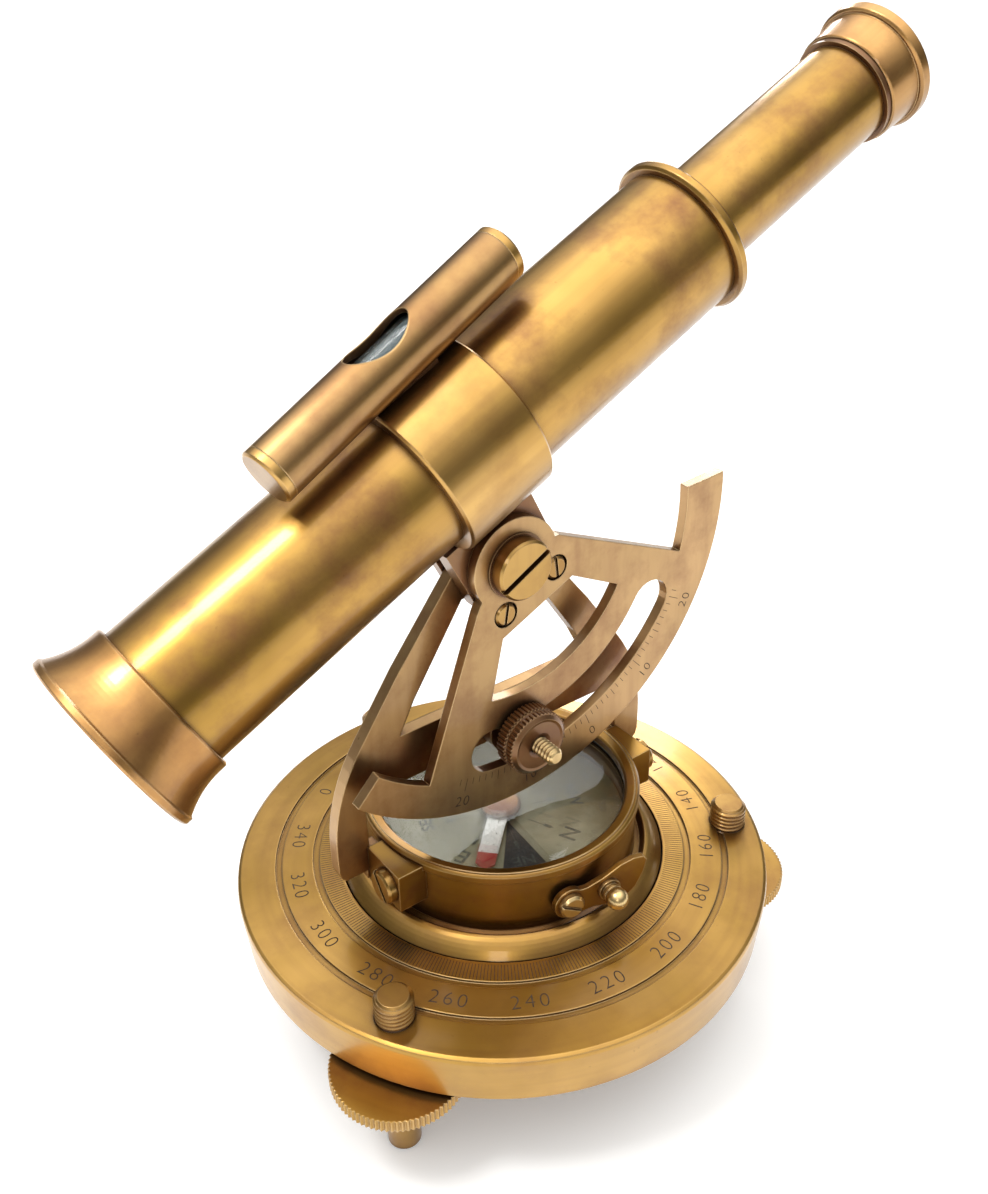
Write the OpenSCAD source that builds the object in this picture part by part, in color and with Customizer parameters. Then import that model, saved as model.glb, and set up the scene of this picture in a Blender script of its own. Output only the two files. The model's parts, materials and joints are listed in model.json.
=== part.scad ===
// Small brass theodolite: a telescope with a spirit level on a sector plate,
// carried by an A-frame over a compass drum that turns on a three-screw base.
// Origin: ground level under the middle of the base. +Z up, +X towards the
// eyepiece, -Y towards the graduated sector. Millimetres.

/* [Base] */
// Radius of the base plate at its top edge
base_r = 50.6; // [48:0.1:54]
// Thickness of the base plate at its rim
base_t = 10.8; // [9:0.1:13]
// Height of the base plate's underside above the ground
base_lift = 20.2; // [19:0.1:24]
// How much the top of the base rises for each mm towards its middle
base_cone = 0.05; // [0.02:0.01:0.06]

/* [Levelling screws] */
// Distance of the levelling screws from the middle
screw_circle_r = 44.9; // [44:0.1:46]
// Outer radius of a levelling screw's thread
screw_r = 3.4; // [3:0.1:3.6]
// Radius of a levelling screw's knurled wheel
wheel_r = 12; // [10:0.5:13]
// Thickness of the knurled wheel
wheel_t = 2.3; // [2:0.1:2.6]
// How far each screw stands out of the top of the base
screw_top = 5.1; // [3:0.1:7]

/* [Compass] */
// Outer radius of the rotating turntable
turntable_r = 30.75; // [30:0.25:31]
// Outer radius of the compass drum's wall
drum_r = 25.5; // [25.2:0.1:25.6]
// Outer radius of the bezel ring
bezel_r = 26.05; // [25.9:0.05:26.3]
// Radius of the visible glass
glass_view_r = 23.3; // [22.5:0.1:23.4]
// Length of the needle from its middle to one tip
needle_len = 17.6; // [14:0.2:20]

/* [A-frame] */
// Thickness of the A-frame plate
frame_t = 2.5; // [2:0.1:2.6]
// Half the width of the A-frame at its feet
frame_half_w = 35; // [34:0.5:36]
// Height of the telescope's pivot above the base plate's rim
pivot_above_rim = 64.2; // [63.5:0.1:66]

/* [Sector] */
// Outer radius of the graduated limb
limb_r = 47.9; // [46.8:0.1:48.1]
// Thickness of the sector plate
sector_t = 2; // [1.6:0.1:2]
// Half the angle that the limb spans
limb_half_angle = 68.8; // [60:0.2:70]

/* [Telescope] */
// Tilt of the telescope as stored
tilt = 26.7; // [0:0.1:33]
// Height of the telescope's axis above its pivot
axis_w = 23.5; // [23:0.1:25]
// Outer radius of the main tube
tube_r = 12.15; // [11.9:0.05:12.2]
// Outer radius of the draw tube
draw_r = 8.7; // [8.2:0.1:9]
// How far the draw tube stands out of the end ring
draw_out = 40; // [34:1:42]

/* [Spirit level] */
// Outer radius of the level's tube
level_r = 4.55; // [4.2:0.05:4.7]
// Length of the level with its caps
level_len = 50.1; // [40:0.1:54]

/* [Hidden] */
$fn = 96;
seat = 0.02;          // gap where two pieces of one body are pressed or soldered together
running = 0.05;       // radial clearance of a shaft that turns or slides
face_gap = 0.15;      // gap between flat faces that move past each other

// base
base_top_z = base_lift + base_t;
base_foot_r = base_r - 0.7;
edge = 0.4;                       // small chamfer along turned edges
groove_depth = 0.5;
outer_groove = [42.2, 43.4];      // inner and outer radius of the ring groove outside the numbers
inner_groove = [35.05, 36.3];     // ring groove inside the numbers
recess_r = turntable_r + 0.3;
recess_z = base_top_z - 2;
nut_recess_r = 11;
nut_recess_d = 5;
screw_angles = [90, 210, 330];

// levelling screws
screw_pitch = 0.9;
thread_depth = 0.38;
wheel_z = base_lift - 0.3 - wheel_t;
foot_r = 3;
foot_flat_r = 2.2;
foot_round_h = 0.45;
wheel_teeth = 84;

// turntable, drum and what is in it
turntable_z = recess_z + 0.1;
shoulder = [3.2, 3];               // width and rise of the turntable's sloping rim
rim_z = base_top_z + 0.9;          // where the rim's slope starts
plateau_z = base_top_z + 3;
drum_floor_t = 1.2;
drum_floor_z = plateau_z + drum_floor_t;
dial_z = base_top_z + 7.9;
dial_t = 0.5;
dial_hole_r = 3.2;
glass_z = base_top_z + 12.4;
glass_t = 1;
glass_r = 24.4;
gasket_t = 0.5;
bezel_z = base_top_z + 14.2;
bezel_top_z = base_top_z + 15.95;
bezel_groove_r = 25.2;
spindle_r = 3;
spindle_flange_r = 7;
spindle_flange_t = 1;
bush_r = 5.5;
post_r = 1;
post_tip_z = base_top_z + 9.9;
needle_z = base_top_z + 9.2;
needle_t = 0.35;
needle_w = 3.6;
needle_hole_r = 1.5;
needle_azimuth = -137;
cap_r = 3.8;
cap_h = 0.85;

// needle lock, outside and inside the drum
lock_azimuth = -101;
lock_z = base_top_z + 8.4;
lever_gap = 0.35;                 // between the bezel's rim and the lever
lever_t = 1.1;
lever_y = bezel_r + lever_gap;    // distance of the lever's inner face from the middle
lever_boss_r = 3;
lock_knob_at = [7.6, 0.4];        // the knob on the lever, along it and above its pivot
knob_ball_r = 2;
knob_pin_r = 0.8;
shaft_r = 1.2;
crank_r = 1.6;                    // throw of the pin that works the lifter
crank_angle = 215;                // direction of the pin from the shaft
crank_pin_r = 0.35;
crank_pin_end = 20.4;             // how near the pin comes to the middle of the drum
crank_disc_r = 2;
crank_disc_y = [23.4, 24.4];      // the disc on the shaft's inner end, inside the drum's wall
lifter_pivot_r = 11;              // distance of the lifter's own pivot from the middle
lifter_z = base_top_z + 5.8;      // underside of the lifter's arm
lifter_t = 0.4;
lifter_w = 3.2;
lifter_pin_r = 0.4;

// lugs, A-frame
lug_x = 29.1;
lug_root_x = 23;                   // the lugs and their screws start inside the drum's wall
lug_screw_r = 1;
lug_y = [-9.9, 0.13];
lug_z = [base_top_z + 7.45, base_top_z + 15.1];
lug_screw_at = [-6.3, base_top_z + 11.3];
frame_y = 0.15;
frame_arc_r = frame_half_w - 0.3;           // the curved shoulder of each leg
frame_arc_z = base_top_z + 16.5;            // height of that curve's centre
foot_z = base_top_z + 9.8;
leg_slope = 35.1;                           // lean of the upper legs from upright
opening_half_w = 28.7;
crossbar_z = [base_top_z + 25.8, base_top_z + 35.5];
window_low_half_w = 20.9;
window_top_half_w = 7.2;
hub_r = 6.8;
frame_screw_at = [28, base_top_z + 11.2];
frame_screw_r = 0.8;

// pivot, sector and clamp
pivot_z = base_top_z + pivot_above_rim;
pivot_r = 2;
pivot_head_r = 5.35;
pivot_head_h = 2.6;
pivot_washer_r = 5.8;
pivot_washer_t = 0.3;
sector_y = -5.6;                            // front face of the sector plate
sector_turn = -1.7;                         // the plate's own angle on the clevis
inner_band_r = 25.5;
slot_band_r = [31.6, 40.1];
limb_inner_r = 40.25;
limb_inner_x = -1.4;                        // the horns' inner edge is a little off centre
slot_half_angle = 41.4;
window_half_angle = 37.7;
arm_edges = [                               // outer edges of the two arms, from hub to limb
    [[-9, -1.6], [-10.2, -2.6], [-32.7, -25.1]],
    [[9.3, -1.4], [11.2, -3.6], [30.2, -25.3]]
];
arm_root_r = 44;                            // the arms run into the limb up to here
sector_hub_r = 8.5;
sector_chord = 10.7;                        // from the pivot to the flat between the arms
sector_screw_at = [9.05, 41.4];             // radius and angle of the two small screws
sector_screw_head_r = 2.1;
sector_screw_r = 1;
clamp_x = 0.8;
clamp_z = pivot_z - 34.2;
stud_r = 1.65;
stud_tip_y = -15.6;
nut_r = 6.15;
nut_t = 5.2;
clamp_washer_r = 5.2;

// clevis under the telescope
clevis_half_len = 9;
clevis_y = [sector_y + sector_t + seat, 5.2];
cheek_gap = 0.2;                            // between a cheek and the A-frame's plate
clevis_slot_top = hub_r + 0.5;
clevis_low = -3.5;
clevis_high = 16;                           // inside the collar's cut

// telescope, stations along its axis measured from the foot of the pivot's perpendicular
collar_r = 14.3;
collar_span = [-6.7, 10.7];
tube_wall = 1;
tube_span = [-56.5, 54.2];
bell_span = [-64.7, -54.7];
bell_neck_r = 13.25;
bell_mouth_r = 15.6;
bell_rim_t = 1.5;
bell_bore_r = 11.6;
lens_t = 3;
lens_r = tube_r - tube_wall - seat;
lens_curve_r = 42;
lens_ring_t = 1.4;
lens_edge_t = tube_span[0] + lens_ring_t + 0.42;  // where the edge of the objective starts
end_ring_r = 13.6;
end_ring_t = 2;
bush_len = 12;
draw_wall = 0.8;
draw_hidden = 22;
eyepiece_start = tube_span[1] + end_ring_t + draw_out;
eyepiece_ring_r = 9.5;
eyepiece_ring_t = 1;
eyepiece_r = 9.9;
eyepiece_rim_r = 11.1;
eyepiece_rim_t = 2.5;
eyepiece_len = 9.6;

// spirit level
level_axis = axis_w + 14.55 + level_r;
level_mid = -0.2;
level_side = -1.3;                          // the level sits a little askew on its saddle
level_yaw = 5.7;
level_wall = 0.9;
level_cap_t = 1.6;
level_window = [12.2, 6.8];
vial_r = 3.1;
vial_wall = 0.5;
vial_len = 30;
level_saddle_span = [-4, 6];
level_saddle_w = 5;

brass = "#a57c2c";
dark_brass = "#6b4f22";
bright_brass = "#c9a24a";
steel = "#b9bcc0";

// ---- helpers ----

function base_surface(r) = base_top_z + (base_r - r) * base_cone;

// A plain ring along +Z.
module ring(r_out, r_in, h) {
    difference() {
        cylinder(r = r_out, h = h);
        translate([0, 0, -1]) cylinder(r = r_in, h = h + 2);
    }
}

// A rod with ring ridges that stand for its thread, along +Z.
module threaded_rod(r, pitch, depth, len) {
    turns = floor(len / pitch);
    rotate_extrude() polygon(concat(
        [[0, 0]],
        [for (i = [0:turns - 1]) each [
            [r - depth, i * pitch],
            [r, (i + 0.35) * pitch],
            [r, (i + 0.65) * pitch]
        ]],
        [[r - depth, turns * pitch], [r - depth, len], [0, len]]
    ));
}

// A wheel whose rim carries straight knurling, along +Z.
module knurled_wheel(r, depth, teeth, h) {
    step = 360 / teeth;
    linear_extrude(height = h) polygon([
        for (i = [0:teeth - 1]) each [
            r * [cos(i * step), sin(i * step)],
            (r - depth) * [cos((i + 0.5) * step), sin((i + 0.5) * step)]
        ]
    ]);
}

// A cheese head with a screwdriver slot, its underside at Z = 0.
module slotted_head(r, h, slot_w, slot_d, slot_angle = 0) {
    difference() {
        union() {
            cylinder(r = r, h = h - edge);
            translate([0, 0, h - edge]) cylinder(r1 = r, r2 = r - edge, h = edge);
        }
        rotate([0, 0, slot_angle]) translate([-r - 1, -slot_w / 2, h - slot_d])
            cube([2 * r + 2, slot_w, slot_d + 1]);
    }
}

// Children made along +Z point along -Y instead, with their own Z = 0 at the given Y.
module facing_front(y) translate([0, y, 0]) rotate([90, 0, 0]) children();

// Children made along +Z point along +Y instead.
module facing_back(y) translate([0, y, 0]) rotate([-90, 0, 0]) children();

// Children drawn in X and Y become a plate in X and Z, from y to y + t.
module upright_plate(y, t) translate([0, y + t, 0]) rotate([90, 0, 0]) linear_extrude(height = t) children();

// Telescope frame: local X along the tube, local Z away from the pivot.
module on_telescope() translate([0, 0, pivot_z]) rotate([0, -tilt, 0]) children();

// Children made along +Z lie along the telescope's axis from station t.
module along_tube(t, w = axis_w) on_telescope() translate([t, 0, w]) rotate([0, 90, 0]) children();

// Level frame: origin in the middle of the level, local X along it.
module on_level() on_telescope() translate([level_mid, level_side, level_axis])
    rotate([0, 0, level_yaw]) children();

// Lock frame: local X along the lever, local Y outwards from the drum, local Z up.
module on_lock() translate([0, 0, lock_z]) rotate([0, 0, lock_azimuth + 90]) mirror([0, 1, 0]) children();

// ---- base and levelling screws ----

module base_plate() {
    color(brass) difference() {
        rotate_extrude($fn = 180) polygon([
            [bush_r + seat, base_lift],
            [base_foot_r - 1, base_lift],
            [base_foot_r, base_lift + 1],
            [base_r, base_top_z - 1],
            [base_r - 0.15, base_top_z - 0.3],
            [base_r - 0.7, base_surface(base_r - 0.7)],
            [outer_groove[1], base_surface(outer_groove[1])],
            [outer_groove[1], base_surface(outer_groove[1]) - groove_depth],
            [outer_groove[0], base_surface(outer_groove[0]) - groove_depth],
            [outer_groove[0], base_surface(outer_groove[0])],
            [inner_groove[1], base_surface(inner_groove[1])],
            [inner_groove[1], base_surface(inner_groove[1]) - groove_depth],
            [inner_groove[0], base_surface(inner_groove[0]) - groove_depth],
            [inner_groove[0], base_surface(inner_groove[0])],
            [recess_r, base_surface(recess_r)],
            [recess_r, recess_z],
            [bush_r + seat, recess_z]
        ]);
        translate([0, 0, base_lift - 1]) cylinder(r = nut_recess_r, h = nut_recess_d + 1);
        for (a = screw_angles) rotate([0, 0, a])
            translate([screw_circle_r, 0, base_lift - 1]) cylinder(r = screw_r + running, h = base_t + 5);
    }
}

module spindle_bush() {
    color(bright_brass) translate([0, 0, base_lift + nut_recess_d])
        ring(bush_r, spindle_r + running, recess_z - base_lift - nut_recess_d);
}

// The threaded screw of one levelling foot, with its rounded tip on the ground.
module level_screw(i) {
    color(brass) rotate([0, 0, screw_angles[i]]) translate([screw_circle_r, 0, 0]) {
        translate([0, 0, wheel_z]) threaded_rod(screw_r, screw_pitch, thread_depth,
            base_top_z + screw_top - edge - wheel_z);
        translate([0, 0, base_top_z + screw_top - edge])
            cylinder(r1 = screw_r - thread_depth, r2 = screw_r - thread_depth - edge, h = edge);
        translate([0, 0, foot_round_h]) cylinder(r = foot_r, h = wheel_z - foot_round_h);
        cylinder(r1 = foot_flat_r, r2 = foot_r, h = foot_round_h);
    }
}

module level_wheel(i) {
    color(brass) rotate([0, 0, screw_angles[i]]) translate([screw_circle_r, 0, wheel_z])
        difference() {
            knurled_wheel(wheel_r, 0.35, wheel_teeth, wheel_t);
            translate([0, 0, -1]) cylinder(r = screw_r + seat, h = wheel_t + 2);
        }
}

// ---- turntable and compass drum ----

module turntable() {
    steps = 6;
    function slope(k) = [turntable_r - shoulder[0] * k, rim_z + shoulder[1] * (1 - pow(1 - k, 1.5))];
    color(brass) rotate_extrude($fn = 180) polygon(concat(
        [[spindle_r + seat, turntable_z], [turntable_r, turntable_z]],
        [for (i = [0:steps]) slope(i / steps)],
        [
            slope(1) - [0.3, 0.15],
            [slope(1)[0] - 0.7, plateau_z + 0.1],
            [drum_r + 1, plateau_z - 0.3],
            [drum_r + 0.1, plateau_z],
            [spindle_r + seat, plateau_z]
        ]
    ));
}

// Everything that passes through the drum's wall.
module wall_passages() {
    for (s = [-1, 1]) translate([s * lug_root_x, lug_screw_at[0], lug_screw_at[1]])
        rotate([0, s * 90, 0]) cylinder(r = lug_screw_r + seat, h = 5);
    on_lock() facing_back(crank_disc_y[0] - 4) cylinder(r = crank_disc_r + running, h = 5 + seat);
    on_lock() facing_back(crank_disc_y[1] - 1) cylinder(r = shaft_r + running, h = 4);
}

module compass_drum() {
    color(brass) difference() {
        translate([0, 0, plateau_z]) cylinder(r = drum_r, h = bezel_z - plateau_z, $fn = 180);
        translate([0, 0, glass_z]) cylinder(r = glass_r + seat, h = 10, $fn = 180);
        translate([0, 0, dial_z]) cylinder(r = glass_view_r, h = 10, $fn = 180);
        translate([0, 0, drum_floor_z]) cylinder(r = glass_view_r - 1.1, h = 10, $fn = 180);
        translate([0, 0, plateau_z - 1]) cylinder(r = spindle_r + seat, h = 5);
        wall_passages();
    }
}

// The vertical axle that the turntable hangs on, its flange inside the drum.
module spindle() {
    color(bright_brass) {
        translate([0, 0, drum_floor_z + seat]) cylinder(r = spindle_flange_r, h = spindle_flange_t - seat);
        translate([0, 0, base_lift + 1.6]) cylinder(r = spindle_r, h = drum_floor_z - base_lift - 1.5);
    }
}

module spindle_washer() {
    color(steel) translate([0, 0, base_lift + nut_recess_d - 0.1 - 0.6]) ring(6.5, spindle_r + seat, 0.6);
}

module spindle_nut() {
    color(steel) translate([0, 0, base_lift + 1.8]) difference() {
        cylinder(r = 6.2, h = 2.4, $fn = 6);
        translate([0, 0, -1]) cylinder(r = spindle_r + seat, h = 5);
    }
}

module compass_dial() {
    color("#c9cdb8") translate([0, 0, dial_z]) difference() {
        cylinder(r = glass_view_r - seat, h = dial_t);
        translate([0, 0, -1]) cylinder(r = dial_hole_r, h = dial_t + 2);
    }
}

module needle_post() {
    foot_z = drum_floor_z + spindle_flange_t;
    color(steel) {
        translate([0, 0, foot_z]) cylinder(r = post_r, h = post_tip_z - 0.9 - foot_z);
        translate([0, 0, post_tip_z - 0.9]) cylinder(r1 = post_r, r2 = 0.1, h = 0.9);
    }
}

module compass_glass() {
    color([0.8, 0.9, 0.9, 0.4]) translate([0, 0, glass_z]) cylinder(r = glass_r, h = glass_t, $fn = 180);
}

module glass_gasket() {
    color("#303030") translate([0, 0, glass_z + glass_t]) ring(glass_r - 0.1, glass_view_r + 0.1, gasket_t);
}

module bezel_ring() {
    lip_z = glass_z + glass_t + gasket_t;
    color(brass) rotate_extrude($fn = 180) polygon([
        [glass_view_r, lip_z],
        [glass_r - 0.05, lip_z],
        [glass_r - 0.05, bezel_z],
        [bezel_r, bezel_z],
        [bezel_r, bezel_top_z - edge],
        [bezel_r - edge, bezel_top_z],
        [bezel_groove_r + 0.12, bezel_top_z],
        [bezel_groove_r, bezel_top_z - 0.2],
        [bezel_groove_r - 0.12, bezel_top_z],
        [glass_view_r + edge, bezel_top_z - 0.2],
        [glass_view_r, bezel_top_z - 0.2 - edge]
    ]);
}

// ---- needle, and the lever that lifts it off its post ----

module compass_needle() {
    tip = 1.6;
    color(steel) rotate([0, 0, needle_azimuth]) translate([0, 0, needle_z]) difference() {
        linear_extrude(height = needle_t) polygon([
            [-needle_len, 0], [-needle_len + tip, -needle_w / 2], [needle_len - tip, -needle_w / 2],
            [needle_len, 0], [needle_len - tip, needle_w / 2], [-needle_len + tip, needle_w / 2]
        ]);
        translate([0, 0, -1]) cylinder(r = needle_hole_r, h = 3);
    }
}

module needle_cap() {
    z = needle_z + needle_t;
    color(bright_brass) difference() {
        union() {
            translate([0, 0, z]) cylinder(r = cap_r, h = cap_h - 0.3);
            translate([0, 0, z + cap_h - 0.3]) cylinder(r1 = cap_r, r2 = cap_r - 0.5, h = 0.3);
        }
        translate([0, 0, z - 1]) cylinder(r = needle_hole_r, h = 1.5);
    }
}

// A rocker: the lock's crank pin pushes its outer end down and its ring lifts the needle.
module needle_lifter() {
    arm_out = crank_pin_end + 0.8;
    collar_top = dial_z + dial_t + 0.1;
    pad_top = lock_z + crank_r * sin(crank_angle) - crank_pin_r - running;
    color(bright_brass) rotate([0, 0, lock_azimuth]) difference() {
        union() {
            translate([0, -lifter_w / 2, lifter_z]) cube([arm_out, lifter_w, lifter_t]);
            translate([0, 0, lifter_z]) cylinder(r = 2.6, h = collar_top - lifter_z);
            translate([arm_out - 1, -lifter_w / 2, lifter_z]) cube([1, lifter_w, pad_top - lifter_z]);
            translate([lifter_pivot_r, lifter_w / 2, lifter_z + 0.2]) rotate([90, 0, 0])
                cylinder(r = 0.9, h = lifter_w);
        }
        translate([0, 0, lifter_z - 1]) cylinder(r = 1.7, h = 10);
        translate([lifter_pivot_r, 5, lifter_z + 0.2]) rotate([90, 0, 0])
            cylinder(r = lifter_pin_r + running, h = 10);
    }
}

// Two ears on the drum's floor with the lifter's pivot pin between them.
module lifter_bracket() {
    ear_t = 0.8;
    ear_y = lifter_w / 2 + 0.15;
    pin_z = lifter_z + 0.2;
    color(dark_brass) rotate([0, 0, lock_azimuth]) {
        for (s = [-1, 1]) translate([lifter_pivot_r - 1, s * (ear_y + ear_t / 2) - ear_t / 2, drum_floor_z])
            cube([2, ear_t, pin_z + 0.8 - drum_floor_z]);
        translate([lifter_pivot_r, ear_y + ear_t / 2, pin_z]) rotate([90, 0, 0])
            cylinder(r = lifter_pin_r, h = 2 * ear_y + ear_t);
    }
}

// The leaf-shaped lever outside the drum, with a round boss at its pivot.
module lock_lever() {
    color(brass) on_lock() translate([0, lever_y, 0]) rotate([-90, 0, 0]) difference() {
        linear_extrude(height = lever_t) union() {
            circle(r = lever_boss_r);
            polygon([
                [0, -2.4], [3.4, -2.2], [6.6, -3.1], [10, -4.7], [12.6, -5.2], [14.6, -4.9],
                [15.2, -4], [14.6, -1.4], [13.2, 1.4], [11.2, 3.1], [8.4, 3.6], [4.6, 2.7], [0, 2.9]
            ]);
        }
        translate([0, 0, -1]) cylinder(r = shaft_r + seat, h = 5);
        translate([lock_knob_at[0], -lock_knob_at[1], -1]) cylinder(r = knob_pin_r + seat, h = 5);
    }
}

// The shaft that the lever turns on: slotted head outside, crank pin inside the drum.
module lock_shaft() {
    head_y = lever_y + lever_t + seat;
    color(bright_brass) on_lock() {
        facing_back(head_y) slotted_head(2.3, 1.3, 0.7, 0.6, 30);
        facing_back(crank_disc_y[0]) cylinder(r = shaft_r, h = head_y + 0.1 - crank_disc_y[0]);
        facing_back(crank_disc_y[0]) cylinder(r = crank_disc_r, h = crank_disc_y[1] - crank_disc_y[0]);
        translate([crank_r * cos(crank_angle), 0, crank_r * sin(crank_angle)])
            facing_back(crank_pin_end) cylinder(r = crank_pin_r, h = crank_disc_y[0] + 0.1 - crank_pin_end);
    }
}

module lock_knob() {
    z = lever_t + seat;
    color(bright_brass) on_lock() translate([lock_knob_at[0], lever_y, lock_knob_at[1]]) facing_back(0) {
        cylinder(r = knob_pin_r, h = z);
        translate([0, 0, z]) cylinder(r = 2.1, h = 0.6);
        translate([0, 0, z + 0.6]) cylinder(r = 1.5, h = 0.6);
        translate([0, 0, z + 1.2]) cylinder(r = 1.8, h = 0.5);
        translate([0, 0, z + 1]) cylinder(r = 1.1, h = 2);
        translate([0, 0, z + 2.9]) sphere(r = knob_ball_r, $fn = 48);
    }
}

// ---- lugs and A-frame ----

module frame_lugs() {
    for (s = [-1, 1]) color(brass) difference() {
        translate([s > 0 ? lug_root_x : -lug_x, lug_y[0], lug_z[0]])
            cube([lug_x - lug_root_x, lug_y[1] - lug_y[0], lug_z[1] - lug_z[0]]);
        cylinder(r = drum_r + seat, h = 60, $fn = 180);
        translate([0, 0, bezel_z - seat]) cylinder(r = bezel_r + seat, h = 10, $fn = 180);
        translate([s * 20, lug_screw_at[0], lug_screw_at[1]]) rotate([0, s * 90, 0])
            cylinder(r = lug_screw_r + seat, h = 12);
        translate([s * frame_screw_at[0], 0, frame_screw_at[1]]) facing_front(1)
            cylinder(r = frame_screw_r + seat, h = 4.6);
    }
}

module lug_screws() {
    for (s = [-1, 1]) color(brass) translate([0, lug_screw_at[0], lug_screw_at[1]]) rotate([0, s * 90, 0]) {
        translate([0, 0, lug_x + seat]) slotted_head(3.2, 1.7, 0.9, 0.8, 35);
        translate([0, 0, lug_root_x + 0.2]) cylinder(r = lug_screw_r, h = lug_x - lug_root_x - 0.1);
    }
}

// Outer edge of one leg of the A-frame in X and Z, from its foot to the hub.
function frame_edge(side) =
    let (
        run = 14,                           // length of the straight stretch above the curve
        tangent = [frame_arc_r * cos(leg_slope), frame_arc_z + frame_arc_r * sin(leg_slope)],
        lean = [-sin(leg_slope), cos(leg_slope)],
        points = concat(
            [[frame_half_w - 1.2, foot_z], [frame_half_w - 0.4, foot_z + 0.9], [frame_half_w, foot_z + 2.4]],
            [for (a = [0:leg_slope / 9:leg_slope])
                [frame_half_w - frame_arc_r + frame_arc_r * cos(a), frame_arc_z + frame_arc_r * sin(a)]],
            [tangent + [0.3, 0] + lean * run],
            [0.9 * hub_r * [cos(leg_slope), sin(leg_slope)] + [0, pivot_z]]
        )
    )
    [for (p = points) [side * p[0], p[1]]];

module frame_outline() {
    left = frame_edge(-1);
    polygon(concat(frame_edge(1), [for (i = [len(left) - 1:-1:0]) left[i]]));
}

module frame_windows() {
    corner = 2.5;
    upper_h = pivot_z - 6.6 - crossbar_z[1];
    difference() {
        polygon([
            [-window_low_half_w, crossbar_z[1]], [window_low_half_w, crossbar_z[1]],
            [17.7, crossbar_z[1] + 6.2],
            [window_top_half_w, crossbar_z[1] + upper_h], [-window_top_half_w, crossbar_z[1] + upper_h],
            [-17.7, crossbar_z[1] + 6.2]
        ]);
        translate([0, pivot_z]) circle(r = hub_r + 0.6);
    }
    polygon(concat(
        [[-opening_half_w, foot_z - 5], [opening_half_w, foot_z - 5]],
        [for (a = [0:15:90]) [opening_half_w - corner, crossbar_z[0] - corner] + corner * [cos(a), sin(a)]],
        [for (a = [90:15:180]) [corner - opening_half_w, crossbar_z[0] - corner] + corner * [cos(a), sin(a)]]
    ));
}

// The arched A-frame plate with its hub, crossbar and the tongues behind the lugs.
module a_frame() {
    tongue = [[26.6, base_top_z + 8], [29.5, base_top_z + 14.5]];
    tongue_size = tongue[1] - tongue[0];
    color(brass) difference() {
        union() {
            difference() {
                upright_plate(frame_y, frame_t) frame_outline();
                upright_plate(frame_y - 1, frame_t + 2) frame_windows();
            }
            upright_plate(frame_y, frame_t) translate([0, pivot_z]) circle(r = hub_r);
            for (x = [-tongue[1][0], tongue[0][0]]) translate([x, frame_y, tongue[0][1]])
                cube([tongue_size[0], frame_t, tongue_size[1]]);
        }
        translate([0, 0, pivot_z]) facing_back(frame_y - 1)
            cylinder(r = pivot_r + running, h = frame_t + 2);
        translate([clamp_x, 0, clamp_z]) facing_back(frame_y - 1)
            cylinder(r = stud_r + seat, h = frame_t + 2);
        for (s = [-1, 1]) translate([s * frame_screw_at[0], 0, frame_screw_at[1]])
            facing_back(frame_y - 1) cylinder(r = frame_screw_r + seat, h = frame_t + 2);
    }
}

module frame_screws() {
    back_y = frame_y + frame_t + seat;
    for (s = [-1, 1]) color(brass) translate([s * frame_screw_at[0], 0, frame_screw_at[1]]) {
        facing_back(back_y) slotted_head(1.8, 1.2, 0.6, 0.6, 20);
        facing_front(back_y + 0.1) cylinder(r = frame_screw_r, h = back_y + 3.5);
    }
}

// ---- clamp of the sector ----

module clamp_stud() {
    back_y = frame_y + frame_t + 2.2;
    color(bright_brass) translate([clamp_x, 0, clamp_z]) {
        facing_front(back_y) threaded_rod(stud_r, 0.8, 0.28, back_y - stud_tip_y - 0.3);
        facing_front(stud_tip_y + 0.3) cylinder(r1 = stud_r - 0.28, r2 = stud_r - 0.6, h = 0.3);
    }
}

module clamp_washer() {
    color(dark_brass) translate([clamp_x, 0, clamp_z]) facing_front(frame_y - seat)
        ring(clamp_washer_r, stud_r + seat, frame_y - seat - (sector_y + sector_t) - face_gap);
}

module stud_nut() {
    color(brass) translate([clamp_x, 0, clamp_z]) facing_back(frame_y + frame_t + seat) difference() {
        cylinder(r = 3.4, h = 1.8, $fn = 6);
        translate([0, 0, -1]) cylinder(r = stud_r + seat, h = 4);
    }
}

module clamp_nut() {
    color(dark_brass) translate([clamp_x, 0, clamp_z]) facing_front(sector_y - face_gap) difference() {
        union() {
            cylinder(r = nut_r - 0.9, h = 0.5);
            translate([0, 0, 0.5]) knurled_wheel(nut_r, 0.3, 46, nut_t - 1);
            translate([0, 0, nut_t - 0.5]) cylinder(r1 = nut_r - 0.5, r2 = nut_r - 0.9, h = 0.5);
        }
        translate([0, 0, -1]) cylinder(r = stud_r + running, h = nut_t + 2);
    }
}

// ---- sector plate and pivot, in the telescope's frame ----

// A wedge of the plane, symmetric about -Y, wide enough to trim a band of radius r.
module wedge(half_angle, r) {
    steps = 6;
    polygon(concat([[0, 0]], [for (i = [-steps:steps])
        1.3 * r * [sin(i / steps * half_angle), -cos(i / steps * half_angle)]]));
}

module limb() {
    intersection() {
        difference() {
            circle(r = limb_r, $fn = 180);
            translate([limb_inner_x, 0]) circle(r = limb_inner_r, $fn = 180);
        }
        wedge(limb_half_angle, limb_r);
    }
}

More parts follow.
